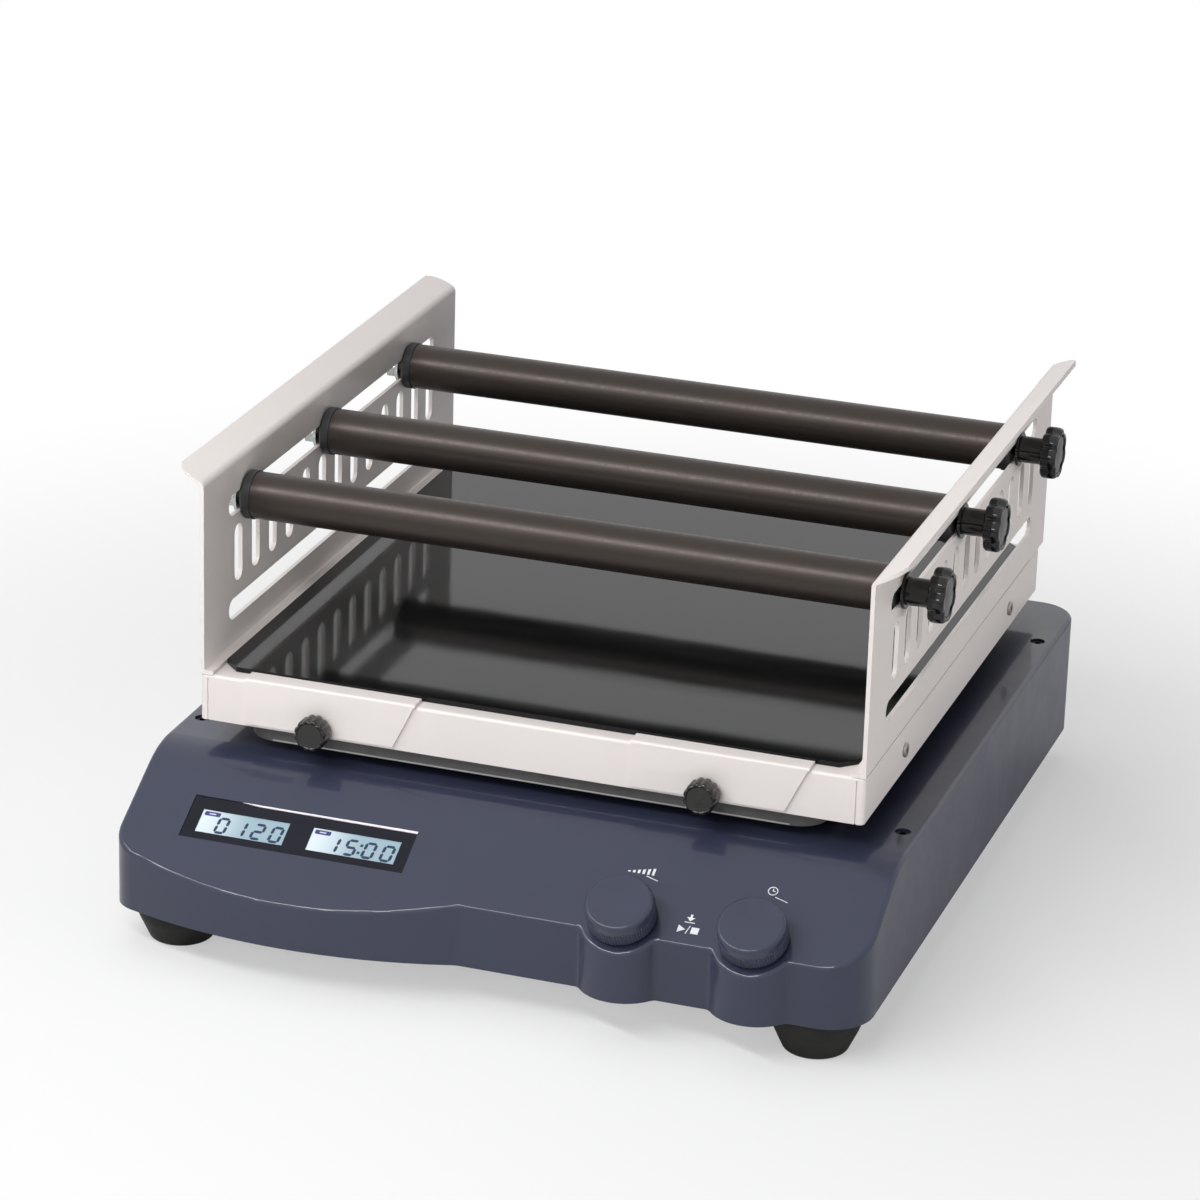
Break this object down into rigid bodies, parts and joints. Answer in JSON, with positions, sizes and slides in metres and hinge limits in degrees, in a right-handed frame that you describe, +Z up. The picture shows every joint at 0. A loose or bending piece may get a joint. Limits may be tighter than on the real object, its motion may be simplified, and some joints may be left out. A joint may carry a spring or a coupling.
{
  "type": "orbital shaker",
  "caption": "Bench shaker: a slotted-sided tray with clamp bars rides an eccentric drive on a cast base with two knobs and a display.",
  "frame": {"origin": "bottom centre of the whole part, on the bench top", "axes": "+X to the right seen from the control side, +Y away from it, +Z up"},
  "size_m": [0.3726, 0.4236, 0.2215],
  "materials": {
    "housing_paint": "satin",
    "knob_grey": "satin",
    "white_paint": "satin",
    "dark_cast": "matt",
    "steel": "brushed",
    "bearing_steel": "polished",
    "pulley_aluminium": "satin",
    "bar_finish": "satin",
    "rubber": "matt",
    "mat_rubber": "gloss",
    "black_plastic": "satin",
    "black_gloss": "gloss",
    "thumb_black": "satin",
    "lcd": "gloss",
    "circuit": "satin",
    "motor_paint": "satin",
    "zinc_screw": "bright",
    "dark_screw": "dark",
    "prong_brass": "bright"
  },
  "bodies": {
    "base": {"base_housing": "housing_paint", "base_plate": "steel", "base_plate_screws": "zinc_screw", "rubber_feet": "rubber", "foot_screws": "zinc_screw", "deck_screws": "dark_screw", "display_bezel": "black_gloss", "speed_lcd": "lcd", "time_lcd": "lcd", "display_board": "circuit", "speed_encoder": "steel", "time_encoder": "steel", "encoder_nuts": "zinc_screw", "power_inlet": "black_plastic", "inlet_prongs": "prong_brass", "switch_frame": "black_plastic", "control_board": "circuit", "motor": "motor_paint", "motor_screws": "zinc_screw", "main_bearings": "bearing_steel", "idler_bearings": "bearing_steel", "drive_belt": "rubber"},
    "rocker": {"power_rocker": "black_gloss"},
    "crank": {"main_crank": "steel", "driven_pulley": "pulley_aluminium", "counterweight": "steel"},
    "motor_rotor": {"motor_pulley": "pulley_aluminium"},
    "carriage": {"carriage": "dark_cast", "carriage_bearings": "bearing_steel", "tray": "white_paint", "tray_mat": "mat_rubber", "side_panel_left": "white_paint", "side_panel_right": "white_paint", "panel_screws": "zinc_screw", "clamp_plate_left": "white_paint", "clamp_plate_right": "white_paint"},
    "thumb_left": {"thumb_screw_left": "thumb_black"},
    "thumb_right": {"thumb_screw_right": "thumb_black"},
    "idler_front_left": {"idler_crank_front_left": "steel"},
    "idler_rear_left": {"idler_crank_rear_left": "steel"},
    "idler_front_right": {"idler_crank_front_right": "steel"},
    "idler_rear_right": {"idler_crank_rear_right": "steel"},
    "speed_push": {"speed_plunger": "black_plastic"},
    "speed_dial": {"speed_shaft": "steel", "speed_knob": "knob_grey"},
    "time_push": {"time_plunger": "black_plastic"},
    "time_dial": {"time_shaft": "steel", "time_knob": "knob_grey"},
    "bar_front": {"bar_front": "bar_finish", "bar_front_caps": "black_plastic", "bar_front_stud_set": "zinc_screw"},
    "star_front": {"star_knob_front": "black_gloss"},
    "bar_middle": {"bar_middle": "bar_finish", "bar_middle_caps": "black_plastic", "bar_middle_stud_set": "zinc_screw"},
    "star_middle": {"star_knob_middle": "black_gloss"},
    "bar_rear": {"bar_rear": "bar_finish", "bar_rear_caps": "black_plastic", "bar_rear_stud_set": "zinc_screw"},
    "star_rear": {"star_knob_rear": "black_gloss"}
  },
  "joints": [
    {"name": "crank_spin", "type": "hinge", "parent": "base", "child": "crank", "pos_m": [-0.0013, 0.02324, 0], "axis": [0, 0, 1], "continuous": true},
    {"name": "carriage_orbit", "type": "hinge", "parent": "crank", "child": "carriage", "pos_m": [-0.0013, 0.02824, 0], "axis": [0, 0, 1], "continuous": true},
    {"name": "rotor_spin", "type": "hinge", "parent": "base", "child": "motor_rotor", "pos_m": [-0.0013, 0.12124, 0], "axis": [0, 0, 1], "continuous": true},
    {"name": "rocker_tilt", "type": "hinge", "parent": "base", "child": "rocker", "pos_m": [-0.0663, 0.20499, 0.054], "axis": [1, 0, 0], "range_deg": [0, 14]},
    {"name": "idler_spin_front_left", "type": "hinge", "parent": "base", "child": "idler_front_left", "pos_m": [-0.1063, -0.08676, 0], "axis": [0, 0, 1], "continuous": true},
    {"name": "idler_spin_rear_left", "type": "hinge", "parent": "base", "child": "idler_rear_left", "pos_m": [-0.1063, 0.13324, 0], "axis": [0, 0, 1], "continuous": true},
    {"name": "idler_spin_front_right", "type": "hinge", "parent": "base", "child": "idler_front_right", "pos_m": [0.1037, -0.08676, 0], "axis": [0, 0, 1], "continuous": true},
    {"name": "idler_spin_rear_right", "type": "hinge", "parent": "base", "child": "idler_rear_right", "pos_m": [0.1037, 0.13324, 0], "axis": [0, 0, 1], "continuous": true},
    {"name": "speed_knob_push", "type": "slide", "parent": "base", "child": "speed_push", "axis": [0, 0.5, -0.866], "range_m": [0, 0.0008], "stiffness_N_per_m": 2500, "springref_m": -0.0006},
    {"name": "speed_knob_turn", "type": "hinge", "parent": "speed_push", "child": "speed_dial", "pos_m": [0.0669, -0.19008, 0.05465], "axis": [0, -0.5, 0.866], "continuous": true},
    {"name": "time_knob_push", "type": "slide", "parent": "base", "child": "time_push", "axis": [0, 0.5, -0.866], "range_m": [0, 0.0008], "stiffness_N_per_m": 2500, "springref_m": -0.0006},
    {"name": "time_knob_turn", "type": "hinge", "parent": "time_push", "child": "time_dial", "pos_m": [0.13, -0.19008, 0.05465], "axis": [0, -0.5, 0.866], "continuous": true},
    {"name": "thumb_turn_left", "type": "hinge", "parent": "carriage", "child": "thumb_left", "pos_m": [-0.1053, -0.13676, 0.1005], "axis": [0, 1, 0], "continuous": true},
    {"name": "thumb_turn_right", "type": "hinge", "parent": "carriage", "child": "thumb_right", "pos_m": [0.0882, -0.13676, 0.1005], "axis": [0, 1, 0], "continuous": true},
    {"name": "bar_slide_front", "type": "slide", "parent": "carriage", "child": "bar_front", "axis": [0, 1, 0], "range_m": [-0.018, 0.036]},
    {"name": "star_turn_front", "type": "hinge", "parent": "bar_front", "child": "star_front", "pos_m": [-0.0013, -0.08276, 0.1924], "axis": [1, 0, 0], "continuous": true},
    {"name": "bar_slide_middle", "type": "slide", "parent": "carriage", "child": "bar_middle", "axis": [0, 1, 0], "range_m": [-0.033, 0.038]},
    {"name": "star_turn_middle", "type": "hinge", "parent": "bar_middle", "child": "star_middle", "pos_m": [-0.0013, 0.01824, 0.1924], "axis": [1, 0, 0], "continuous": true},
    {"name": "bar_slide_rear", "type": "slide", "parent": "carriage", "child": "bar_rear", "axis": [0, 1, 0], "range_m": [-0.0425, 0.0265]},
    {"name": "star_turn_rear", "type": "hinge", "parent": "bar_rear", "child": "star_rear", "pos_m": [-0.0013, 0.13074, 0.1924], "axis": [1, 0, 0], "continuous": true}
  ],
  "couplings": [
    {"joint": "carriage_orbit", "follows": "crank_spin", "ratio": -1},
    {"joint": "rotor_spin", "follows": "crank_spin", "ratio": 3.2143},
    {"joint": "idler_spin_front_left", "follows": "crank_spin", "ratio": 1},
    {"joint": "idler_spin_rear_left", "follows": "crank_spin", "ratio": 1},
    {"joint": "idler_spin_front_right", "follows": "crank_spin", "ratio": 1},
    {"joint": "idler_spin_rear_right", "follows": "crank_spin", "ratio": 1}
  ]
}
